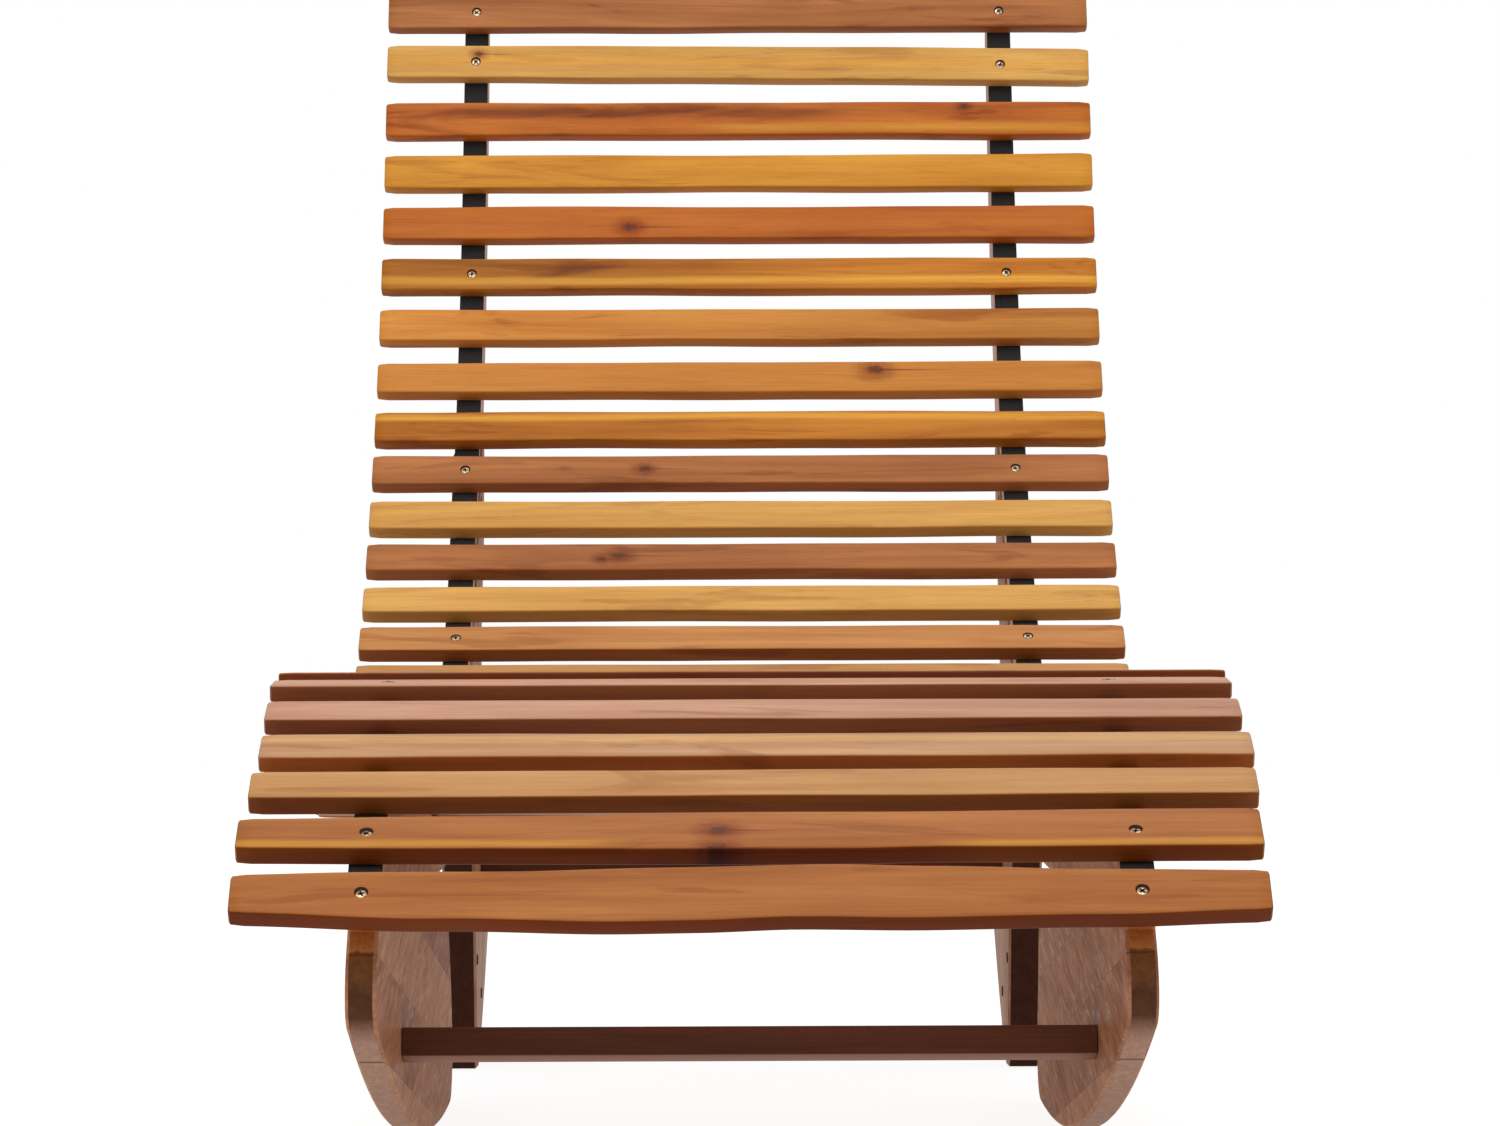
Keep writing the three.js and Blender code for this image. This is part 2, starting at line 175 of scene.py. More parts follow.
# Oiled wood of the slats: a dark and a light colour for each kind
woodTones = {
    "honey": ((190, 130, 56), (228, 176, 96)),
    "golden": ((188, 112, 24), (226, 162, 60)),
    "apricot": ((174, 108, 54), (210, 148, 88)),
    "amber": ((178, 104, 34), (214, 144, 66)),
    "orange": ((164, 80, 22), (200, 114, 42)),
    "sienna": ((154, 82, 18), (204, 130, 44)),
    "russet": ((138, 78, 36), (186, 118, 68)),
    "tan": ((170, 114, 62), (206, 154, 98)),
    # sand and rose, on the front slats 4 to 6, are partly the wood's own pale tone and partly painted sheen,
    # the reflection of the white surroundings at a grazing view.
    "sand": ((166, 114, 74), (204, 158, 116)),
    "rose": ((168, 114, 86), (206, 156, 126)),
    "rust": ((144, 80, 32), (182, 114, 58)),
}

# Layers of the grain: factors along x, y and z, shifts away, then detail, roughness and distortion
oilGrain = {
    "figure": ((3.0, 48.0, 48.0), 1.0, 3.0, 0.5, 1.1),
    "streak": ((5.0, 210.0, 210.0), 1.0, 3.0, 0.55, 0.3),
    "clouds": ((6.0, 20.0, 20.0), 1.7, 2.0, 0.5),
    "flame": ((4.5, 34.0, 34.0), 2.9, 4.0, 0.55, 1.6),
    "fibre": ((16.0, 620.0, 620.0), 1.0, 2.0, 0.6),
    "pore": ((70.0, 1500.0, 1500.0), 1.0, 1.0, 0.5),
}

# A range is where a layer starts to show and where it shows in full
oil = {
    "contrast": 0.7,
    "edge": 0.3,
    "middle": 0.56,
    "figureAmount": 1.9,
    "cloudAmount": 1.1,
    "streakAmount": 0.6,
    "patchAmount": 0.75,
    "patchRange": (0.56, 0.66),
    "patchShade": (0.66, 0.52, 0.42, 1.0),
    "lateAmount": 0.45,
    "lateRange": (0.60, 0.76),
    "lateClouds": (0.40, 0.62),
    "lateShade": (0.52, 0.42, 0.38, 1.0),
    "fadeReach": 0.3,
    "fibreShades": (0.34, 0.66, 0.94, 1.04),
    "poreRange": (0.64, 0.74),
    "poreShade": 0.15,
    # Painted shade: the long edges of a slat are darkened by the edge shade colour, by the amount given as
    # edge, for the shade the edges lie in.
    "edgeRange": (0.62, 0.90),
    "paintedEdgeShade": (166, 124, 92),
    "endRange": (0.70, 0.92),
    "endShade": (168, 146, 132),
    "roughness": 0.44,
    "roughnessSwing": 0.16,
    "poreRoughness": 0.08,
    "endRoughness": 0.2,
    "specular": 0.10,
    "poreRelief": 0.7,
    "streakRelief": 0.3,
    "bumpStrength": 0.30,
    "bumpDistance": 0.0003,
}

# Knots, by their radius: longer along the grain, ragged, with a crack on one side
knot = {
    "length": 1.5,
    "raggedAlong": 1.1,
    "raggedAcross": 1.6,
    "raggedStart": 900,
    "raggedNoise": (3.0, 0.7),
    "raggedness": 1.6,
    "bend": 0.85,
    "haloRange": (3.0, 0.5),
    "haloAmount": 0.70,
    "haloShade": (176, 120, 92),
    "crackWidth": 0.22,
    "crackFades": (14, 2),
    "crackAmount": 0.85,
    "crackShade": (120, 52, 24),
    "heartRange": (1.05, 0.35),
    "heartAmount": 0.8,
    "heartShade": (84, 42, 26),
}

# Paler bands and brown stains along a slat. The bands wander with a layer of their own.
band = {
    "wander": ((3.0, 0.0, 0.0), 2.3, 2.0, 0.5),
    "sway": 0.010,
    "core": 0.15,
    "endFade": 0.03,
    "least": 0.45,
}
stain = {
    "sway": 0.02,
    "core": 0.2,
    "startFade": 0.08,
    "endFade": 0.10,
    "flameRange": (0.35, 0.60),
    "amount": 0.75,
    "shade": (0.50, 0.46, 0.55, 1.0),
}


def bendRoundKnots(coordinates, x, y, knots):
    # The grain flows round each knot. Returns the bent y, and the masks of halo, crack and heart.
    found = []
    for knotX, knotY, radius in knots:
        alongKnot = (x - knotX) / (radius * knot["length"])
        acrossKnot = (y - knotY) / radius
        factors = (knot["raggedAlong"] / radius, knot["raggedAcross"] / radius, 0.0)
        ragged = coordinates.stretched(factors, (radius * knot["raggedStart"], 0, 0))
        distance = (alongKnot * alongKnot + acrossKnot * acrossKnot) ** 0.5
        distance = distance + (ragged.noise(*knot["raggedNoise"]) - 0.5) * knot["raggedness"]
        y = y - (y - knotY) * (knot["bend"] / (1 + distance * distance))
        fadeFrom, fadeTo = (radius * reach for reach in knot["crackFades"])
        crack = abs(y - knotY).step(radius * knot["crackWidth"], 0.0) * (x - knotX).step(fadeFrom, fadeTo)
        crack = crack * (x - knotX).step(0.0, radius)
        found.append((distance.step(*knot["haloRange"]), crack, distance.step(*knot["heartRange"])))
    return y, [reduce(Wire.either, masks) for masks in zip(*found)]


def bandMask(x, y, wander, middle, halfWidth, low, high):
    offset = abs(y - middle - (wander - 0.5) * band["sway"])
    fade = band["endFade"]
    ends = x.step(low - fade, low + fade) * x.step(high + fade, high - fade)
    return offset.step(halfWidth, halfWidth * band["core"]) * ends


def stainMask(x, y, clouds, flame, low, high, middle, halfWidth):
    offset = abs(y - middle - (clouds - 0.5) * stain["sway"])
    ends = x.step(low, low + stain["startFade"]) * x.step(high, high - stain["endFade"])
    return offset.step(halfWidth, halfWidth * stain["core"]) * ends * flame.step(*stain["flameRange"])


def oiledWood(name, look, seed):
    material, shader, start = newMaterial(name)
    coordinates = start.node("TexCoord", out="Object")
    x, y, z = coordinates.parts()
    y, knotMasks = bendRoundKnots(coordinates, x, y, look.get("knots", ()))
    bent = start.vector(x, y, z)
    shift = Vector((math.sin(seed * 12.9) * 7, math.cos(seed * 7.3) * 11, seed * 3.1))
    figure, streak, clouds, flame, fibre, pore = (bent.layer(row, shift) for row in oilGrain.values())
    pores = pore.step(*oil["poreRange"])

    contrast = look.get("contrast", oil["contrast"])
    blend = (figure - 0.5) * oil["figureAmount"] + (clouds - 0.5) * oil["cloudAmount"]
    blend = (blend + (streak - 0.5) * oil["streakAmount"]) * contrast + oil["middle"]
    dark, light = (colour(*shade) for shade in woodTones[look["tone"]])
    base = blend.mix(dark, light)
    patch = flame.step(*oil["patchRange"]) * (oil["patchAmount"] * contrast)
    base = patch.mix(base, base.times(oil["patchShade"]))
    late = streak.step(*oil["lateRange"]) * clouds.step(*oil["lateClouds"]) * (oil["lateAmount"] * contrast)
    base = late.mix(base, base.times(oil["lateShade"]))
    for middle, halfWidth, tone, amount, low, high in look.get("bands", ()):
        mask = bandMask(x, y, coordinates.layer(band["wander"], shift), middle, halfWidth, low, high)
        base = (mask * amount * (band["least"] + streak)).mix(base, colour(*woodTones[tone][1]))
    if "stain" in look:
        mask = stainMask(x, y, clouds, flame, *look["stain"])
        base = (mask * stain["amount"]).mix(base, base.times(stain["shade"]))
    if "fade" in look:
        base = base.times(x.step(-oil["fadeReach"], oil["fadeReach"], *look["fade"]))
    base = base.times(fibre.step(*oil["fibreShades"]) * (1 - pores * oil["poreShade"]))
    if knotMasks:
        halo, crack, heart = knotMasks
        base = (halo * knot["haloAmount"]).mix(base, base.times(colour(*knot["haloShade"])))
        base = (crack * knot["crackAmount"]).mix(base, colour(*knot["crackShade"]))
        base = (heart * knot["heartAmount"]).mix(base, colour(*knot["heartShade"]))

    normalX, normalY = start.node("TexCoord", out="Normal").parts()[:2]
    # The long edges take painted shade; the cut ends are darker end grain.
    edge = abs(normalY).step(*oil["edgeRange"])
    cutEnd = abs(normalX).step(*oil["endRange"])
    paintedEdgeShade = colour(*look.get("paintedEdgeShade", oil["paintedEdgeShade"]))
    base = (edge * look.get("edge", oil["edge"])).mix(base, base.times(paintedEdgeShade))
    base = cutEnd.mix(base, base.times(colour(*oil["endShade"])))
    roughness = oil["roughness"] + (fibre - 0.5) * oil["roughnessSwing"]
    roughness = roughness + pores * oil["poreRoughness"] + cutEnd * oil["endRoughness"]
    relief = fibre - pores * oil["poreRelief"] + streak * oil["streakRelief"]
    dress(shader, oil, base, roughness, relief)
    return material


# Board wood of the side frames, glued up from staves. Layers as above, with the grain along y.
boardGrain = {
    "figure": ((24.0, 5.0, 40.0), 1.0, 4.0, 0.6, 0.9),
    "patches": ((10.0, 7.0, 18.0), 1.3, 4.0, 0.62, 0.8),
    "streak": ((60.0, 5.0, 150.0), 2.1, 3.0, 0.6, 0.4),
    "fibre": ((420.0, 18.0, 420.0), 1.0, 2.0, 0.6),
    "rough": ((120.0, 60.0, 120.0), 1.4, 4.0, 0.65),
    "sheenStreaks": ((200.0, 30.0, 330.0), 1.9, 2.0, 0.6),
}

stave = {
    "width": 0.056,
    "fall": 0.15,
    "start": 0.0469,
    "jump": (4.0, 3.0),
    "tones": (0.1, 0.9, 0.30, 0.88),
    "figureAmount": 1.3,
    "patchAmount": 1.2,
    "streakAmount": 1.1,
    "redRange": (0.60, 0.72),
    "redAmount": 0.30,
    "redShade": (150, 84, 52),
    # The pale streaks are painted sheen.
    "paintedSheenRange": (0.64, 0.76),
    "paintedSheenAmount": 0.25,
    "paintedSheenShade": (214, 176, 150),
    "fibreShades": (0.34, 0.66, 0.86, 1.08),
    "edgeRange": (0.75, 0.45),
    "edgeTurn": (0.2, -0.2),
    "edgeShades": (0.75, 1.30, 0.84, 1.10),
    "jointWidth": 0.0006,
    "faceJoint": 0.2,
    "edgeJoint": 0.5,
    "jointShade": (84, 44, 28),
    "roughness": 0.66,
    "roughnessSwing": 0.25,
    "specular": 0.03,
    "glare": 0.20,
    "glareRange": (0.50, 0.72),
    "coatRoughness": 0.30,
    "fibreRelief": 0.6,
    "roughRelief": 0.8,
    "bumpStrength": 0.45,
    "bumpDistance": 0.0006,
}

# The cut edges of the rocker panels, by height: the tones of the glued-up staves, with painted light and
# shade. They are painted pale at the bottom for the light from the bright floor, dark in the middle where the
# edge faces the front, and dark at the top for the shadow under the first slat.
rockerEdgeTonesAndShade = {
    "bottom": 0.060,
    "top": 0.180,
    "waver": 0.006,
    "shades": (
        (0.00, (188, 148, 128)), (0.30, (184, 143, 122)), (0.38, (150, 114, 94)), (0.46, (96, 60, 42)),
        (0.57, (84, 52, 36)), (0.66, (114, 72, 44)), (0.77, (140, 90, 52)), (0.78, (210, 140, 76)),
        (0.88, (180, 110, 56)), (1.00, (110, 64, 34)),
    ),
}

# Looks of the boards: how the grain leans, in radians from level, whether the staves lie along it, and the
# shades of faces and edges.
# The front edges of the rear feet are painted dark, painted shade for the shadow of the seat above. A rocker
# panel's edges follow the table above.
boardLooks = {
    "front_rocker": {
        "lean": 0.15, "stavesLean": False, "sheen": 0.05,
        "dark": (150, 94, 62), "light": (206, 150, 112),
    },
    "back_rail": {
        "lean": 0.95, "stavesLean": True, "sheen": 0.32,
        "dark": (144, 88, 56), "light": (200, 144, 106),
        "frontEdge": (140, 88, 56), "backEdge": (140, 88, 56),
    },
    "rear_foot": {
        "lean": 1.20, "stavesLean": True, "sheen": 0.12,
        "dark": (136, 88, 60), "light": (194, 148, 116),
        "frontEdge": (68, 40, 30), "backEdge": (128, 80, 52),
    },
}


def boardWood(name, look, seed):
    material, shader, start = newMaterial(name)
    x, y, z = start.node("TexCoord", out="Object").parts()
    along = y * math.cos(look["lean"]) + z * math.sin(look["lean"])
    across = z * math.cos(look["lean"]) - y * math.sin(look["lean"])
    count = across if look["stavesLean"] else z + y * stave["fall"] - stave["start"]
    count = count / stave["width"]
    number = count.math("FLOOR", count)
    inStave = abs(count - number - 0.5) * stave["width"]
    joint = inStave.step(stave["width"] / 2 - stave["jointWidth"], stave["width"] / 2)
    draw = start.node("TexWhiteNoise", {"noise_dimensions": "1D"}, {"W": number + seed * 17.0})
    jump = start.vector(0.0, *(draw * reach for reach in stave["jump"]))
    grain = start.node("VectorMath", {"operation": "ADD"}, {0: start.vector(x, along, across), 1: jump})
    shift = Vector((seed * 5.3, seed * 2.7, seed * 9.1))
    layers = (grain.layer(row, shift) for row in boardGrain.values())
    figure, patches, streak, fibre, rough, sheenStreaks = layers

    blend = (figure - 0.5) * stave["figureAmount"] + (patches - 0.5) * stave["patchAmount"]
    blend = blend + (streak - 0.5) * stave["streakAmount"] + draw.step(*stave["tones"])
    base = blend.shades(look)
    base = (patches.step(*stave["redRange"]) * stave["redAmount"]).mix(base, colour(*stave["redShade"]))
    # Pale streaks of painted sheen: the reflection of the white surroundings on the rough grain, painted into
    # the colour.
    paintedSheen = sheenStreaks.step(*stave["paintedSheenRange"]) * stave["paintedSheenAmount"]
    base = paintedSheen.mix(base, colour(*stave["paintedSheenShade"]))
    base = base.times(fibre.step(*stave["fibreShades"]))
    normalX, normalY = start.node("TexCoord", out="Normal").parts()[:2]
    edge = abs(normalX).step(*stave["edgeRange"])
    # Edges facing the front and the back each take their own colour; the dark front edges of the rear feet
    # are painted shade.
    if "frontEdge" in look:
        edgeToneAndShade = normalY.step(*stave["edgeTurn"]).mix(colour(*look["backEdge"]), colour(*look["frontEdge"]))
    else:
        # Rocker edges: stave tones with painted shade and light, by height.
        height = z + (rough - 0.5) * rockerEdgeTonesAndShade["waver"] - rockerEdgeTonesAndShade["bottom"]
        height = height / (rockerEdgeTonesAndShade["top"] - rockerEdgeTonesAndShade["bottom"])
        stops = [(share, colour(*shade)) for share, shade in rockerEdgeTonesAndShade["shades"]]
        edgeToneAndShade = start.node("ValToRGB", {"stops": stops}, {"Fac": height})
    base = edge.mix(base, edgeToneAndShade.times((fibre + rough).step(*stave["edgeShades"])))
    jointAmount = joint * (stave["faceJoint"] + edge * stave["edgeJoint"])
    base = jointAmount.mix(base, colour(*stave["jointShade"]))
    roughness = stave["roughness"] + (rough - 0.5) * stave["roughnessSwing"]
    relief = fibre * stave["fibreRelief"] + rough * stave["roughRelief"] - joint
    dress(shader, stave, base, roughness, relief)
    shine = look["sheen"] + sheenStreaks.step(*stave["glareRange"]) * stave["glare"]  # oil on the flat faces
    plug((1 - edge) * shine, shader, "Coat Weight")
    shader.inputs["Coat Roughness"].default_value = stave["coatRoughness"]
    return material


# Wood of the stretchers, painted dark for the shade under the seat, and paler underneath, painted light from
# the bright floor
bar = {
    "figure": ((2.4, 60.0, 60.0), 1.0, 4.0, 0.55, 0.5),
    "fibre": ((16.0, 560.0, 560.0), 1.0, 2.0, 0.6),
    "dark": (78, 40, 26),
    "light": (112, 62, 40),
    "figureAmount": 1.6,
    "middle": 0.4,
    "under": (142, 84, 52),
    "underRange": (-0.45, -0.80),
    "fibreShades": (0.34, 0.66, 0.86, 1.06),
    "roughness": 0.55,
    "roughnessSwing": 0.2,
    "specular": 0.15,
    "figureRelief": 0.4,
    "bumpStrength": 0.3,
    "bumpDistance": 0.0004,
}


def barWood(name, seed):
    material, shader, start = newMaterial(name)
    coordinates = start.node("TexCoord", out="Object")
    shift = Vector((seed * 3.3, seed, seed * 2.1))
    figure = coordinates.layer(bar["figure"], shift)
    fibre = coordinates.layer(bar["fibre"], shift)
    blend = (figure - 0.5) * bar["figureAmount"] + bar["middle"]
    normalZ = start.node("TexCoord", out="Normal").parts()[2]
    # Faces turned down are painted paler, for the light from the bright floor; the dark base is painted
    # shade.
    base = normalZ.step(*bar["underRange"]).mix(blend.shades(bar), colour(*bar["under"]))
    base = base.times(fibre.step(*bar["fibreShades"]))
    roughness = bar["roughness"] + (fibre - 0.5) * bar["roughnessSwing"]
    dress(shader, bar, base, roughness, fibre + figure * bar["figureRelief"])
    return material


# Black webbing
webbing = {
    "width": 0.020,
    "across": 0.2245,
    "thickness": 0.0015,
    "edgeRadius": 0.0007,
    "edgeSteps": 3,
    "gap": 0.00125,
    "endLap": 0.012,
    "step": 0.006,
    "ribPitch": 0.0016,
    "threads": 11,
    "threadLean": 0.8,
    "fuzz": ((900.0, 900.0, 900.0), 0.0, 2.0, 0.6),
    "wear": ((40.0, 12.0, 12.0), 1.0, 3.0, 0.6),
    "weaveAmount": 0.3,
    "fuzzAmount": 0.5,
    "wearAmount": 0.3,
    "dark": (10, 8, 9),
    "light": (34, 29, 31),
    "roughness": 0.72,
    "roughnessSwing": 0.2,
    "fuzzRelief": 0.4,
    "bumpStrength": 0.6,
    "bumpDistance": 0.0004,
}


def webbingCloth():
    material, shader, start = newMaterial("blackWebbing")
    along, across = start.node("UVMap", {"uv_map": "band"}).parts()[:2]
    rib = along.math("SINE", along * (2 * math.pi / webbing["ribPitch"]))
    twill = across.math("SINE", across * (math.pi * webbing["threads"]) + rib * webbing["threadLean"])
    weave = rib * twill
    coordinates = start.node("TexCoord", out="Object")
    fuzz = coordinates.layer(webbing["fuzz"], (0, 0, 0))
    wear = coordinates.layer(webbing["wear"], (3, 1, 2))
    blend = weave * webbing["weaveAmount"] + fuzz * webbing["fuzzAmount"] + wear * webbing["wearAmount"]
    roughness = webbing["roughness"] + fuzz * webbing["roughnessSwing"]
    dress(shader, webbing, blend.shades(webbing), roughness, weave + fuzz * webbing["fuzzRelief"])
    return material


# Metals of the screws, bolts and buttons: bright and dull colour, and roughness
metals = {
    "zincPlatedSteel": ((168, 148, 124), (92, 68, 50), 0.36),
    # The cross recess takes a darker metal: painted shade in its hollow.
    "shadedScrewRecess": ((58, 44, 34), (30, 20, 14), 0.5),
    "boltSteel": ((188, 184, 176), (120, 112, 104), 0.36),
    "darkSteel": ((74, 48, 34), (40, 27, 20), 0.6),
}
tarnish = {
    "stain": ((420.0, 420.0, 420.0), 1.0, 3.0, 0.6),
    "stainRange": (0.35, 0.7),
    "roughnessSwing": 0.25,
    "bumpStrength": 0.25,
    "bumpDistance": 0.0001,
}


def platedMetal(name):
    material, shader, start = newMaterial(name)
    bright, dull, roughness = metals[name]
    stained = start.node("TexCoord", out="Object").layer(tarnish["stain"], (1, 2, 3))
    base = stained.step(*tarnish["stainRange"]).mix(colour(*bright), colour(*dull))
    dress(shader, tarnish, base, roughness + (stained - 0.5) * tarnish["roughnessSwing"], stained)
    shader.inputs["Metallic"].default_value = 1.0
    return material


# Dark end grain in the screws' sunk holes, darkened further by painted shade for the hollow
sunkHoleShade = {
    "grain": ((300.0, 900.0, 900.0), 1.0, 2.0, 0.6),
    "dark": (44, 22, 14),
    "light": (92, 52, 32),
    "roughness": 0.8,
}


def sinkShade():
    material, shader, start = newMaterial("sinkWoodShade")
    grain = start.node("TexCoord", out="Object").layer(sunkHoleShade["grain"], (4, 2, 1))
    plug(grain.shades(sunkHoleShade), shader, "Base Color")
    shader.inputs["Roughness"].default_value = sunkHoleShade["roughness"]
    return material


# Mesh helpers
def finishMesh(name, made, material, sharp=40):
    mesh = bpy.data.meshes.new(name)
    bmesh.ops.recalc_face_normals(made, faces=made.faces)
    made.to_mesh(mesh)
    made.free()
    mesh.materials.append(material)
    mesh.shade_smooth()
    mesh.set_sharp_from_angle(angle=math.radians(sharp))
    return mesh


def place(name, mesh, slot, matrix=None):
    piece = bpy.data.objects.new(name, mesh)
    scene.collection.objects.link(piece)
    if matrix:
        piece.matrix_world = matrix
    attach(piece, "root")
    return piece


def closeRings(made, rings):  # joins rings of vertices into a closed skin with a flat cap at each end
    for first, second in zip(rings, rings[1:]):
        for i in range(len(first)):
            j = (i + 1) % len(first)
            made.faces.new((first[i], first[j], second[j], second[i]))
    made.faces.new(reversed(rings[0]))
    made.faces.new(rings[-1])


def roundedSection(halfWidth, halfHeight, radius, steps):
    points = []
    for signY, signZ, turn in ((1, 1, 0.0), (-1, 1, 0.5), (-1, -1, 1.0), (1, -1, 1.5)):
        for i in range(steps + 1):
            angle = math.pi * (turn + 0.5 * i / steps)
            y = signY * (halfWidth - radius) + radius * math.cos(angle)
            z = signZ * (halfHeight - radius) + radius * math.sin(angle)
            points.append((y, z))
    return points


def lathe(made, profile, steps):
    rings = []
    for radius, height in profile:
        angles = [2 * math.pi * i / steps for i in range(steps)]
        rings.append([made.verts.new((radius * math.cos(a), radius * math.sin(a), height)) for a in angles])
    closeRings(made, rings)


def looseObject(name, made, material, matrix=None):
    piece = bpy.data.objects.new(name, finishMesh(name, made, material))
    if matrix:
        piece.matrix_world = matrix
    scene.collection.objects.link(piece)
    return piece


def cutAway(piece, cutters, sharp=35):  # leaves the boolean's result in the piece's own mesh
    for cutter in cutters:
        modifier = piece.modifiers.new("cut", "BOOLEAN")
        modifier.operation = "DIFFERENCE"
        modifier.solver = "EXACT"
        modifier.material_mode = "TRANSFER"
        modifier.object = cutter
    bpy.context.view_layer.update()
    evaluated = piece.evaluated_get(bpy.context.evaluated_depsgraph_get())
    mesh = bpy.data.meshes.new_from_object(evaluated)
    piece.modifiers.clear()
    piece.data = mesh
    for cutter in cutters:
        bpy.data.objects.remove(cutter)
    mesh.set_sharp_from_angle(angle=math.radians(sharp))
    return mesh


# Slats
slat = {
    "edgeRadius": 0.0019,
    "edgeSteps": 4,
    "endRadius": 0.0014,
    "endArris": ((0.0, 1.0), (0.3, 0.55), (0.7, 0.2)),  # shares: of the radius from the end, of the draw
    "endDraw": 0.8,
    "drawRamp": 1.2,
    "cornerReach": 0.0040,
    "cornerDepth": 0.0012,
    "stations": 60,
    "evenShare": 0.75,
    "wave": 0.0011,
    "waveScale": 8,
    "topRow": 1.3,
    "lowRow": 7.9,
    "bow": 0.6,
    "drawSeed": 71,
    "woodSeed": 0.37,
    "faceTilt": 0.1,
    "sharpAngle": 50,
    "screwAcross": 0.2243,
    "sinkRadius": 0.0042,
    "sinkBottom": 0.0022,
    "sinkDepth": 0.0040,
    "sinkRim": 0.0006,
    "sinkBelow": 0.003,
    "sinkAbove": 0.004,
    "sinkSides": 32,
}

# Looks of the slats, counted from the foot end. Each key may be left out.
# In metres: the places and widths of bands, stain and knots, and sink, how deep the screws sit.
# In millimetres: rise (up the seat), sit (down into it), planed (thinner), taper (thinner towards the far
# edge), short (less long), shift (to the right), bow, and top and low, which say how far the upper and the
# lower edge stand out at places along the slat. In degrees: tilt and pitch.
# bands: place across, half width, tone, amount, from, to. knots: place along, across, radius.
# stain, a dark cloud: from, to, place across, half width. fade: brightness at the left and the right end.
# edge, and edge shade: how much painted shade darkens the long edges of a slat, and its colour.
slatLooks = {
    1: {
        "edge": 1, "short": 1.5, "shift": -0.8, "bow": 0.0,
        "tone": "rust", "contrast": 0.75,
        "top": (
            (-300, 0), (-234, 1.6), (-156, 1.4), (-51, 3.8), (53, 6.0), (105, 4.4), (204, 2.0), (300, 0),
        ),
        "low": (
            (-300, 0), (-180, 4.6), (-80, 7.4), (-30, 6.8), (30, 4.4), (100, 5.3), (205, 3.4), (300, 0),
        ),
    },
    2: {
        "edge": 1, "short": 1.5, "shift": -0.8, "bow": 0.0,
        "tone": "rust", "contrast": 0.80,
        "bands": [
            (-0.0125, 0.0060, "golden", 0.5, -0.32, -0.08),
            (-0.0125, 0.0060, "golden", 0.45, 0.12, 0.32),
        ],
        "knots": [(-0.018, 0.000, 0.0050), (-0.019, -0.0165, 0.0046)],
        "top": ((-300, -1.2), (-180, 0.8), (0, 4.0), (300, 7.0)),
        "low": ((-300, 0), (60, 2.5), (120, 0.5), (300, 0)),
    },
    3: {
        "edge": 1, "short": 2.5, "shift": 2.0,
        "tone": "tan", "contrast": 0.65,
        "top": ((-300, 0), (300, 1.5)),
        "low": ((-300, 0), (300, -2.0)),
    },
    4: {
        "edge": 1, "short": 2.0, "shift": 4.0, "planed": 1.5, "sit": 0.6,
        "tone": "sand", "contrast": 0.75, "paintedEdgeShade": (204, 142, 80),
        "bands": [(0.007, 0.007, "honey", 0.35, -0.32, 0.32)],
    },
    5: {"edge": 1, "short": 3.0, "shift": 2.5, "planed": 1.5, "sit": 0.6, "tone": "rose", "contrast": 0.80},
    6: {
        "edge": 1, "short": 3.0, "shift": 1.5, "planed": 2.0, "sit": 0.8,
        "taper": 2.0, "pitch": -4.5, "sink": 0.0008,
        "tone": "rose", "contrast": 0.60,
    },
    7: {"edge": 1, "short": 2.0, "shift": 2.5, "planed": 2.4, "sit": 1.0, "tone": "russet", "contrast": 0.60},
    21: {"tone": "tan", "contrast": 0.60, "edge": 0.8, "rise": -1.5},
    22: {"tone": "apricot", "contrast": 0.75, "edge": 0.9, "sink": 0.0005},
    23: {"tone": "honey", "contrast": 0.55, "edge": 0.6},
    24: {
        "tone": "russet", "contrast": 0.80, "rise": 1.0,
        "knots": [(-0.098, 0.0, 0.0048), (-0.112, -0.003, 0.003)],
    },
    25: {"tone": "honey", "contrast": 0.50},
    26: {"tone": "russet", "contrast": 0.80, "sink": 0.0010, "knots": [(-0.078, 0.0, 0.0036)]},
    27: {
        "tone": "sienna", "contrast": 0.80, "rise": -3.4,
        "bands": [(0.009, 0.006, "golden", 0.8, -0.32, 0.32)],
    },
    28: {"tone": "amber", "contrast": 0.55, "rise": -2.1, "knots": [(0.112, 0.006, 0.0056)]},
    29: {"tone": "amber", "contrast": 0.80, "rise": 0.8, "fade": (1.1, 0.86)},
    30: {
        "tone": "sienna", "contrast": 1.0, "rise": 0.9, "fade": (0.84, 1.14),
        "stain": (-0.30, -0.02, 0.004, 0.008),
        "bands": [(-0.007, 0.006, "golden", 0.9, -0.32, 0.32)],
    },
    31: {"tone": "orange", "contrast": 0.60, "knots": [(-0.092, -0.005, 0.0046)]},
    32: {"tone": "golden", "contrast": 0.60, "rise": -1.5},
    33: {
        "tone": "orange", "contrast": 1.0, "rise": -4.0,
        "stain": (-0.28, 0.16, 0.006, 0.009),
        "bands": [(-0.009, 0.007, "golden", 0.5, -0.02, 0.32)],
        "knots": [(0.192, 0.011, 0.0030)],
    },
    34: {
        "tone": "honey", "contrast": 0.65, "rise": -2.2, "tilt": -0.5,
        "bands": [(0.0, 0.006, "golden", 0.5, -0.32, 0.32)],
        "knots": [(-0.222, 0.007, 0.0028)],
    },
    35: {"tone": "russet", "contrast": 1.05, "rise": -4.0, "knots": [(0.045, 0.035, 0.012)]},
}
hiddenTones = ("tan", "amber", "honey", "russet", "golden", "orange", "apricot")
slatNumbers = range(1, 36)
screwedSlats = (1, 2, 6, 10, 14, 18, 22, 26, 30, 34, 35)


def lookLength(number, key):  # one of the lengths in millimetres, in metres
    return slatLooks.get(number, {}).get(key, 0.0) * millimetre


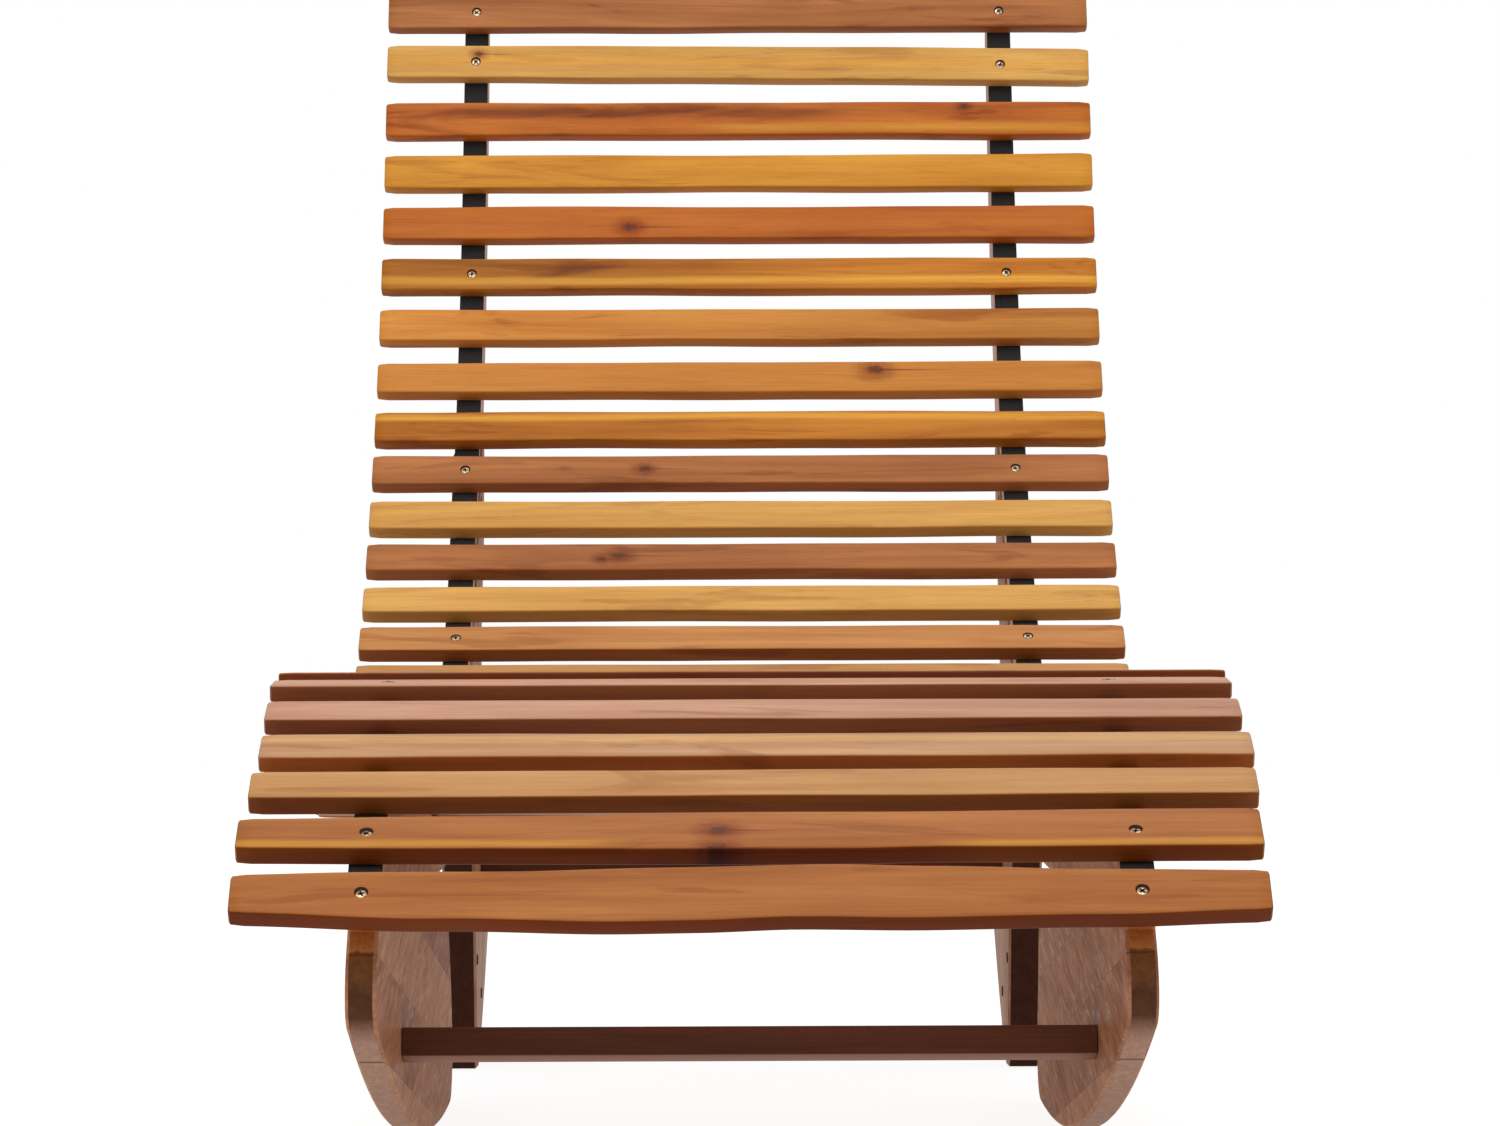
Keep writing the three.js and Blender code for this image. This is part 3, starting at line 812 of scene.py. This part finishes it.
def slatSeat(number):
    # Where a slat lies and which way its broad face looks, after the moves in its look, and its measures
    mesh = nodes[f"slat_{number:02d}"].data
    faces = [face for face in mesh.polygons if abs(face.normal.x) < slat["faceTilt"]]
    widest = max(faces, key=lambda face: face.area)
    normal = Vector((0, widest.normal.y, widest.normal.z)).normalized()
    if normal.z < 0:
        normal = -normal
    along = Vector((0, normal.z, -normal.y))
    points = [vertex.co for vertex in mesh.vertices]
    spans = []
    for axis in (Vector((1, 0, 0)), along, normal):
        reach = [point.dot(axis) for point in points]
        spans.append((min(reach), max(reach)))
    middle = Vector((sum(spans[0]) / 2, 0, 0)) + along * sum(spans[1]) / 2 + normal * sum(spans[2]) / 2
    size = [high - low for low, high in spans]
    look = slatLooks.get(number, {})
    middle += along * lookLength(number, "rise") - normal * lookLength(number, "sit")
    matrix = Matrix((
        (1, along.x, normal.x, middle.x),
        (0, along.y, normal.y, middle.y),
        (0, along.z, normal.z, middle.z),
        (0, 0, 0, 1),
    ))
    turn = Matrix.Rotation(math.radians(look.get("tilt", 0.0)), 4, "Z")
    return matrix @ turn @ Matrix.Rotation(math.radians(look.get("pitch", 0.0)), 4, "X"), size


def between(points, x):  # smooth curve through (place, value) points
    for (x0, y0), (x1, y1) in zip(points, points[1:]):
        if x <= x1:
            share = max(0.0, (x - x0) / (x1 - x0))
            return y0 + (y1 - y0) * share * share * (3 - 2 * share)
    return points[-1][1]


def clamp(value):
    return max(-1.0, min(1.0, value))


def slatStations(length):
    # Places along the slat, closer at its ends, each with how far the end arris draws in there
    half = length / 2
    inside = half - slat["endRadius"]
    arris = [(half - slat["endRadius"] * share, drawIn) for share, drawIn in slat["endArris"]]
    even = slat["evenShare"]
    inner = []
    for i in range(1, slat["stations"]):
        share = 2 * i / slat["stations"] - 1
        inner.append(((even * share + (1 - even) * math.sin(share * math.pi / 2)) * inside, 0.0))
    return [(-x, drawIn) for x, drawIn in arris] + inner + arris[::-1]


def slatMesh(number, size, look, material):
    length, width, thickness = size
    length -= lookLength(number, "short")
    planed, taper = lookLength(number, "planed"), lookLength(number, "taper")
    draw = random.Random(number * slat["drawSeed"])
    phase = draw.uniform(0, 50)
    bow = look.get("bow", draw.uniform(-1, 1) * slat["bow"]) * millimetre
    section = roundedSection(width / 2, thickness / 2, slat["edgeRadius"], slat["edgeSteps"])
    made = bmesh.new()
    rings = []
    for x, drawIn in slatStations(length):
        share = 2 * x / length
        along = x * slat["waveScale"] + phase
        top = noise.noise(Vector((along, slat["topRow"], 0))) * slat["wave"]
        low = noise.noise(Vector((along, slat["lowRow"], 0))) * slat["wave"]
        if "top" in look:
            top += between(look["top"], x / millimetre) * millimetre
            low += between(look["low"], x / millimetre) * millimetre
        cornered = max(0.0, 1 - (length / 2 - abs(x)) / slat["cornerReach"])
        pinch = drawIn * slat["endRadius"] * slat["endDraw"]
        corner = cornered ** 2 * slat["cornerDepth"]
        ring = []
        for y, z in section:
            edge = y / (width / 2)
            face = z / (thickness / 2)
            y += bow * (1 - share * share) + top * max(edge, 0) + low * min(edge, 0)
            y -= (pinch + corner) * clamp(edge * slat["drawRamp"])
            z -= pinch * clamp(face * slat["drawRamp"])
            if z > 0:
                z -= planed + taper * max(edge, 0)
            ring.append(made.verts.new((x, y, z)))
        rings.append(ring)
    closeRings(made, rings)
    return finishMesh(f"slat{number}", made, material, slat["sharpAngle"])


def sinkHoles(piece, matrix, top, shade):  # the two countersunk holes of a screwed slat
    cutters = []
    for side, _ in sides:
        made = bmesh.new()
        lathe(made, [
            (slat["sinkBottom"], top - slat["sinkDepth"] - slat["sinkBelow"]),
            (slat["sinkBottom"], top - slat["sinkDepth"]),
            (slat["sinkRadius"], top - slat["sinkRim"]),
            (slat["sinkRadius"], top + slat["sinkAbove"]),
        ], slat["sinkSides"])
        seat = matrix @ Matrix.Translation((side * slat["screwAcross"], 0, 0))
        cutters.append(looseObject("sink", made, shade, seat))
    cutAway(piece, cutters)


def buildSlats():
    seats = {}
    shade = sinkShade()
    for number in slatNumbers:
        matrix, size = slatSeat(number)
        seats[number] = (matrix, size)
        look = slatLooks.get(number, {"tone": hiddenTones[number % len(hiddenTones)]})
        material = oiledWood(f"oiledSlat{number:02d}", look, number * slat["woodSeed"])
        shifted = matrix @ Matrix.Translation((lookLength(number, "shift"), 0, 0))
        mesh = slatMesh(number, size, look, material)
        piece = place(f"wood_slat_{number:02d}", mesh, "slat_wood", shifted)
        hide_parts(f"slat_{number:02d}")
        if number in screwedSlats:
            sinkHoles(piece, matrix, size[2] / 2 - lookLength(number, "planed"), shade)
    return seats


# Screws with a cross recess
screw = {
    "headRadius": 0.0033,
    "headDepth": 0.0024,
    "headRim": ((0.97, -0.0004), (1.0, -0.0002), (0.96, 0.0)),  # shares of the radius, and heights
    "headDome": ((0.6, 0.75), (0.15, 1.0)),  # shares of the radius and of the dome
    "dome": 0.0003,
    "shankRadius": 0.0018,
    "shankLength": 0.003,
    "sides": 40,
    "sink": 0.0014,
    "armLength": 0.0023,
    "armWidth": 0.0012,
    "armDepth": 0.0014,
    "armTaper": (0.35, 1.25),
    "armFlare": 0.3,
    "overrun": 0.001,
    "drawSeed": 5,
}


def crossArm(turn, material):  # a tapered bar that cuts one arm pair of the recess
    made = bmesh.new()
    corners = []
    for z, share in zip((-screw["armDepth"], screw["dome"] + screw["overrun"]), screw["armTaper"]):
        for signX, signY in ((-1, -1), (1, -1), (1, 1), (-1, 1)):
            x = signX * screw["armLength"] * share
            y = signY * screw["armWidth"] / 2 * (1 - screw["armFlare"] + screw["armFlare"] * share)
            corners.append(made.verts.new((x, y, z)))
    for face in ((3, 2, 1, 0), (4, 5, 6, 7), (0, 1, 5, 4), (1, 2, 6, 5), (2, 3, 7, 6), (3, 0, 4, 7)):
        made.faces.new([corners[i] for i in face])
    return looseObject("arm", made, material, Matrix.Rotation(turn, 4, "Z"))


def screwMesh(material, recess):
    radius, shank, depth = screw["headRadius"], screw["shankRadius"], screw["headDepth"]
    profile = [(shank, -depth - screw["shankLength"]), (shank, -depth)]
    profile += [(radius * share, height) for share, height in screw["headRim"]]
    profile += [(radius * share, screw["dome"] * height) for share, height in screw["headDome"]]
    made = bmesh.new()
    lathe(made, profile, screw["sides"])
    head = looseObject("screwHead", made, material)
    mesh = cutAway(head, [crossArm(turn, recess) for turn in (0, math.pi / 2)])
    bpy.data.objects.remove(head)
    return mesh


def buildScrews(seats):
    recess = platedMetal("shadedScrewRecess")
    zinc = screwMesh(platedMetal("zincPlatedSteel"), recess)
    draw = random.Random(screw["drawSeed"])
    for number in screwedSlats:
        matrix, size = seats[number]
        sink = slatLooks.get(number, {}).get("sink", screw["sink"]) + lookLength(number, "planed")
        for side, sideName in sides:
            seat = Matrix.Translation((side * slat["screwAcross"], 0, size[2] / 2 - sink))
            turn = Matrix.Rotation(draw.uniform(0, math.pi), 4, "Z")
            place(f"screw_{number:02d}_{sideName}", zinc, "screw_metal", matrix @ seat @ turn)


# Straps
def bandPath(seats, side):  # a smooth curve below all the slats, with a lap past the first and the last
    points = []
    for number in slatNumbers:
        matrix, size = seats[number]
        drop = size[2] / 2 + webbing["gap"] - lookLength(number, "sit") / 2
        points.append(matrix @ Vector((side * webbing["across"], 0, -drop)))
    first = (points[0] - points[1]).normalized() * webbing["endLap"]
    last = (points[-1] - points[-2]).normalized() * webbing["endLap"]
    points = [points[0] + first, *points, points[-1] + last]
    path = []
    for i in range(1, len(points)):
        before = points[max(i - 2, 0)]
        start, end = points[i - 1], points[i]
        after = points[min(i + 1, len(points) - 1)]
        steps = max(2, round((end - start).length / webbing["step"]))
        for j in range(steps):
            t = j / steps
            path.append(0.5 * (
                2 * start + (end - before) * t + (2 * before - 5 * start + 4 * end - after) * t * t
                + (3 * start - before - 3 * end + after) * t * t * t
            ))
    path.append(points[-1])
    return path


def buildStraps(seats):
    cloth = webbingCloth()
    for side, sideName in sides:
        path = bandPath(seats, side)
        made = bmesh.new()
        uv = made.loops.layers.uv.new("band")
        halfWidth, halfThickness = webbing["width"] / 2, webbing["thickness"] / 2
        section = roundedSection(halfWidth, halfThickness, webbing["edgeRadius"], webbing["edgeSteps"])
        rings = []
        flatPlace = {}
        travelled = 0.0
        for i, point in enumerate(path):
            ahead = (path[min(i + 1, len(path) - 1)] - path[max(i - 1, 0)]).normalized()
            outward = Vector((0, -ahead.z, ahead.y))
            if i:
                travelled += (point - path[i - 1]).length
            ring = [made.verts.new(point + Vector((across, 0, 0)) + outward * up) for across, up in section]
            for vertex, (across, up) in zip(ring, section):
                flatPlace[vertex] = (travelled, across / webbing["width"] + 0.5)
            rings.append(ring)
        closeRings(made, rings)
        for face in made.faces:
            for loop in face.loops:
                loop[uv].uv = flatPlace[loop.vert]
        strap = place(f"webbing_{sideName}", finishMesh(f"webbing_{sideName}", made, cloth), "webbing")
        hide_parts(f"strap_{sideName}")


# Side frames and stretchers
board = {
    "weld": 0.00001,
    "flatAngle": 0.4,
    "sharpAngle": 38,
    "bevel": 0.0009,
    "bevelSteps": 2,
    "bevelAngle": 30,
}

# The feet are a little thicker than in CAD, inside and outside, and the bar between them is shorter
footProud = 0.0015
faceShifts = {  # points this far from the middle, from and to, and how far they move outwards
    "rear_foot_left": ((0.2160, 0.2189, -footProud), (0.2370, 0.2400, footProud)),
    "rear_foot_right": ((0.2160, 0.2189, -footProud), (0.2370, 0.2400, footProud)),
    "rear_stretcher": ((0.2100, 0.2170, -footProud),),
}


def boardPiece(node, material):
    made = bmesh.new()
    made.from_mesh(nodes[node].data)
    bmesh.ops.remove_doubles(made, verts=made.verts, dist=board["weld"])
    for vertex in made.verts:
        for low, high, shift in faceShifts.get(node, ()):
            if low < abs(vertex.co.x) < high:
                vertex.co.x += math.copysign(1, vertex.co.x) * shift
                break
    flat = math.radians(board["flatAngle"])
    bmesh.ops.dissolve_limit(made, angle_limit=flat, verts=made.verts, edges=made.edges)
    mesh = finishMesh(node + "_wood", made, material, board["sharpAngle"])
    piece = place(node + "_wood", mesh, "frame_wood")
    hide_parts(node)
    bevel = piece.modifiers.new("arris", "BEVEL")
    bevel.width = board["bevel"]
    bevel.segments = board["bevelSteps"]
    bevel.limit_method = "ANGLE"
    bevel.angle_limit = math.radians(board["bevelAngle"])
    bevel.harden_normals = True


def buildBoards():
    seed = 1.0
    for boardName, look in boardLooks.items():
        for _, sideName in sides:
            boardPiece(f"{boardName}_{sideName}", boardWood(f"{boardName}Wood_{sideName}", look, seed))
            seed += 1.0
    for node in ("front_stretcher", "rear_stretcher"):
        boardPiece(node, barWood(f"{node}Wood", seed))
        seed += 1.0


# Bolts, each with a hexagon socket in its head
bolt = {
    "headRadius": 0.0070,
    "headThickness": 0.0022,
    "rim": 0.0007,
    "shankRadius": 0.0030,
    "socketRadius": 0.0031,
    "socketDepth": 0.0016,
    "socketSides": 6,
    "sides": 48,
    "feetFrom": 0.2,  # bolts that lie farther back than this go through the feet
}


def boltMesh(length, nut, steel):
    # Its outer head ends at height 0. A sleeve nut closes the other end of a frame bolt.
    head, rim, thick = bolt["headRadius"], bolt["rim"], bolt["headThickness"]
    shank, radius, depth = bolt["shankRadius"], bolt["socketRadius"], bolt["socketDepth"]
    outer = [(shank, -thick), (head, -thick), (head, -rim), (head - rim, 0.0)]
    if nut:
        inner = [(head - rim, -length), (head, rim - length)]
        inner += [(head, thick - length), (shank, thick - length)]
    else:
        inner = [(shank - rim, -length), (shank, rim - length)]
    made = bmesh.new()
    lathe(made, inner + outer, bolt["sides"])
    piece = looseObject("bolt", made, steel)
    cutters = []
    for middle in (0.0, -length) if nut else (0.0,):
        made = bmesh.new()
        lathe(made, [(radius, middle - depth), (radius, middle + depth)], bolt["socketSides"])
        cutters.append(looseObject("socket", made, steel))
    mesh = cutAway(piece, cutters)
    bpy.data.objects.remove(piece)
    return mesh


def buildBolts():
    steel = platedMetal("boltSteel")
    meshes = {}
    for name in sorted(nodes):
        if "bolt" not in name:
            continue
        points = [vertex.co for vertex in nodes[name].data.vertices]
        low = Vector([min(point[axis] for point in points) for axis in range(3)])
        high = Vector([max(point[axis] for point in points) for axis in range(3)])
        middle = (low + high) / 2
        side = 1 if middle.x > 0 else -1
        nut = name.startswith("frame")
        proud = footProud if middle.y > bolt["feetFrom"] else 0.0
        length = round(high.x - low.x + proud, 4)
        if length not in meshes:
            meshes[length] = boltMesh(length, nut, steel)
        end = high.x + proud if side > 0 else low.x - proud
        matrix = Matrix.Translation((end, middle.y, middle.z)) @ Matrix.Rotation(side * math.pi / 2, 4, "Y")
        piece = place("steel_" + name, meshes[length], "bolt_steel", matrix)
        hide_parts(name)


# Dark button heads on the inner faces of the feet
button = {
    "radius": 0.0042,
    "height": 0.0010,
    "rim": 0.0004,
    "sunk": 0.002,
    "across": 0.2150,
    "places": ((0.430, 0.089), (0.498, 0.058)),  # along the lounge, and height
    "sides": 48,
}


def buildButtons():
    steel = platedMetal("darkSteel")
    made = bmesh.new()
    radius, height, rim = button["radius"], button["height"], button["rim"]
    lathe(made, [(radius, -button["sunk"]), (radius, height - rim), (radius - rim, height)], button["sides"])
    mesh = finishMesh("button", made, steel)
    for side, sideName in sides:
        for number, (y, z) in enumerate(button["places"], 1):
            turn = Matrix.Rotation(-side * math.pi / 2, 4, "Y")
            matrix = Matrix.Translation((side * button["across"], y, z)) @ turn
            place(f"foot_button_{sideName}_{number}", mesh, "bolt_steel", matrix)


# Camera, where the photograph was taken
camera = {
    "place": (-0.0196, -3.4906, 0.2955),
    "up": 1.667,
    "left": -0.388,
    "roll": 0.2,
    "lens": 115.92,
    "sensor": 36.0,
    "farthest": 100,
}


def addCamera():
    data = bpy.data.cameras.new("camera")
    data.lens = camera["lens"]
    data.sensor_width = camera["sensor"]
    data.sensor_fit = "HORIZONTAL"
    data.clip_end = camera["farthest"]
    view = bpy.data.objects.new("camera", data)
    view.location = camera["place"]
    turns = (90 + camera["up"], camera["roll"], camera["left"])
    view.rotation_euler = [math.radians(turn) for turn in turns]
    scene.collection.objects.link(view)
    scene.camera = view


# Studio
studio = {
    "floorSize": 30.0,
    "floorDrop": 0.0005,
    "floorBounce": 0.80,
    "floorWhite": 1.0,
    "floorRoughness": 0.9,
    "shadowShare": 0.20,
    "shadowReach": 2.2,
    "shadowCore": 0.4,
    "glow": 1.12,
    "underGlow": 0.22,
    "ambient": 0.46,
    "keyPower": 78.0,
    "keyPlace": (-0.5, -2.3, 3.6),
    "keyTarget": (0, 0.1, 0.35),
    "keySize": 2.4,
    "topPower": 34.0,
    "topPlace": (0.4, 0.6, 3.8),
    "topTarget": (0, 0.2, 0.3),
    "topSize": 2.6,
    "rays": ("Is Camera Ray", "Is Glossy Ray", "Is Transmission Ray"),
}


def seenDirectly(start):  # camera, mirror and glass rays
    return reduce(Wire.either, [start.node("LightPath", out=ray) for ray in studio["rays"]])


def floorMaterial():
    material, shader, start = newMaterial("paleFloor")
    seen = seenDirectly(start)
    grey = (*(studio["floorBounce"],) * 3, 1.0)
    white = (*(studio["floorWhite"],) * 3, 1.0)
    plug(seen.mix(grey, white), shader, "Base Color")
    shader.inputs["Roughness"].default_value = studio["floorRoughness"]
    shader.inputs["Specular IOR Level"].default_value = 0.0
    x, y = start.node("TexCoord", out="Object").parts()[:2]
    near = ((x * x + y * y) ** 0.5).step(studio["shadowReach"], studio["shadowReach"] * studio["shadowCore"])
    share = seen * (1 - near * studio["shadowShare"]) + (1 - seen) * studio["underGlow"]
    glow = start.node("Emission", None, {"Color": (1, 1, 1, 1), "Strength": studio["glow"]})
    mixed = start.node("MixShader", None, {0: share, 1: Wire(start.tree, shader.outputs[0]), 2: glow})
    output = next(node for node in start.tree.nodes if node.type == "OUTPUT_MATERIAL")
    start.tree.links.new(mixed.socket, output.inputs["Surface"])
    return material


def addFloor():
    half = studio["floorSize"] / 2
    corners = [(x * half, y * half, 0) for x, y in ((-1, -1), (1, -1), (1, 1), (-1, 1))]
    mesh = bpy.data.meshes.new("floor")
    mesh.from_pydata(corners, [], [(0, 1, 2, 3)])
    mesh.materials.append(floorMaterial())
    floor = bpy.data.objects.new("floor", mesh)
    floor.location.z = -studio["floorDrop"]
    scene.collection.objects.link(floor)


def addWorld():
    world = bpy.data.worlds.new("studio")
    world.use_nodes = True
    scene.world = world
    tree = world.node_tree
    start = Wire(tree, None)
    tree.nodes.clear()
    light = start.node("Background", None, {"Color": (1, 1, 1, 1), "Strength": studio["ambient"]})
    white = start.node("Background", None, {"Color": (1, 1, 1, 1), "Strength": 1.0})
    mixed = start.node("MixShader", None, {0: seenDirectly(start), 1: light, 2: white})
    output = tree.nodes.new("ShaderNodeOutputWorld")
    tree.links.new(mixed.socket, output.inputs["Surface"])


def addLamp(name):
    data = bpy.data.lights.new(name, "AREA")
    data.energy = studio[name + "Power"]
    data.size = studio[name + "Size"]
    lamp = bpy.data.objects.new(name, data)
    lamp.location = studio[name + "Place"]
    aim = Vector(studio[name + "Target"]) - lamp.location
    lamp.rotation_euler = aim.to_track_quat("-Z", "Y").to_euler()
    scene.collection.objects.link(lamp)


addCamera()
addWorld()
addFloor()
addLamp("key")
addLamp("top")
print("studio ready")

slatSeats = buildSlats()
print("slats done")
buildScrews(slatSeats)
print("screws done")
buildStraps(slatSeats)
print("straps done")
buildBoards()
buildBolts()
buildButtons()
print("side frames done")

scene.view_settings.view_transform = "Standard"
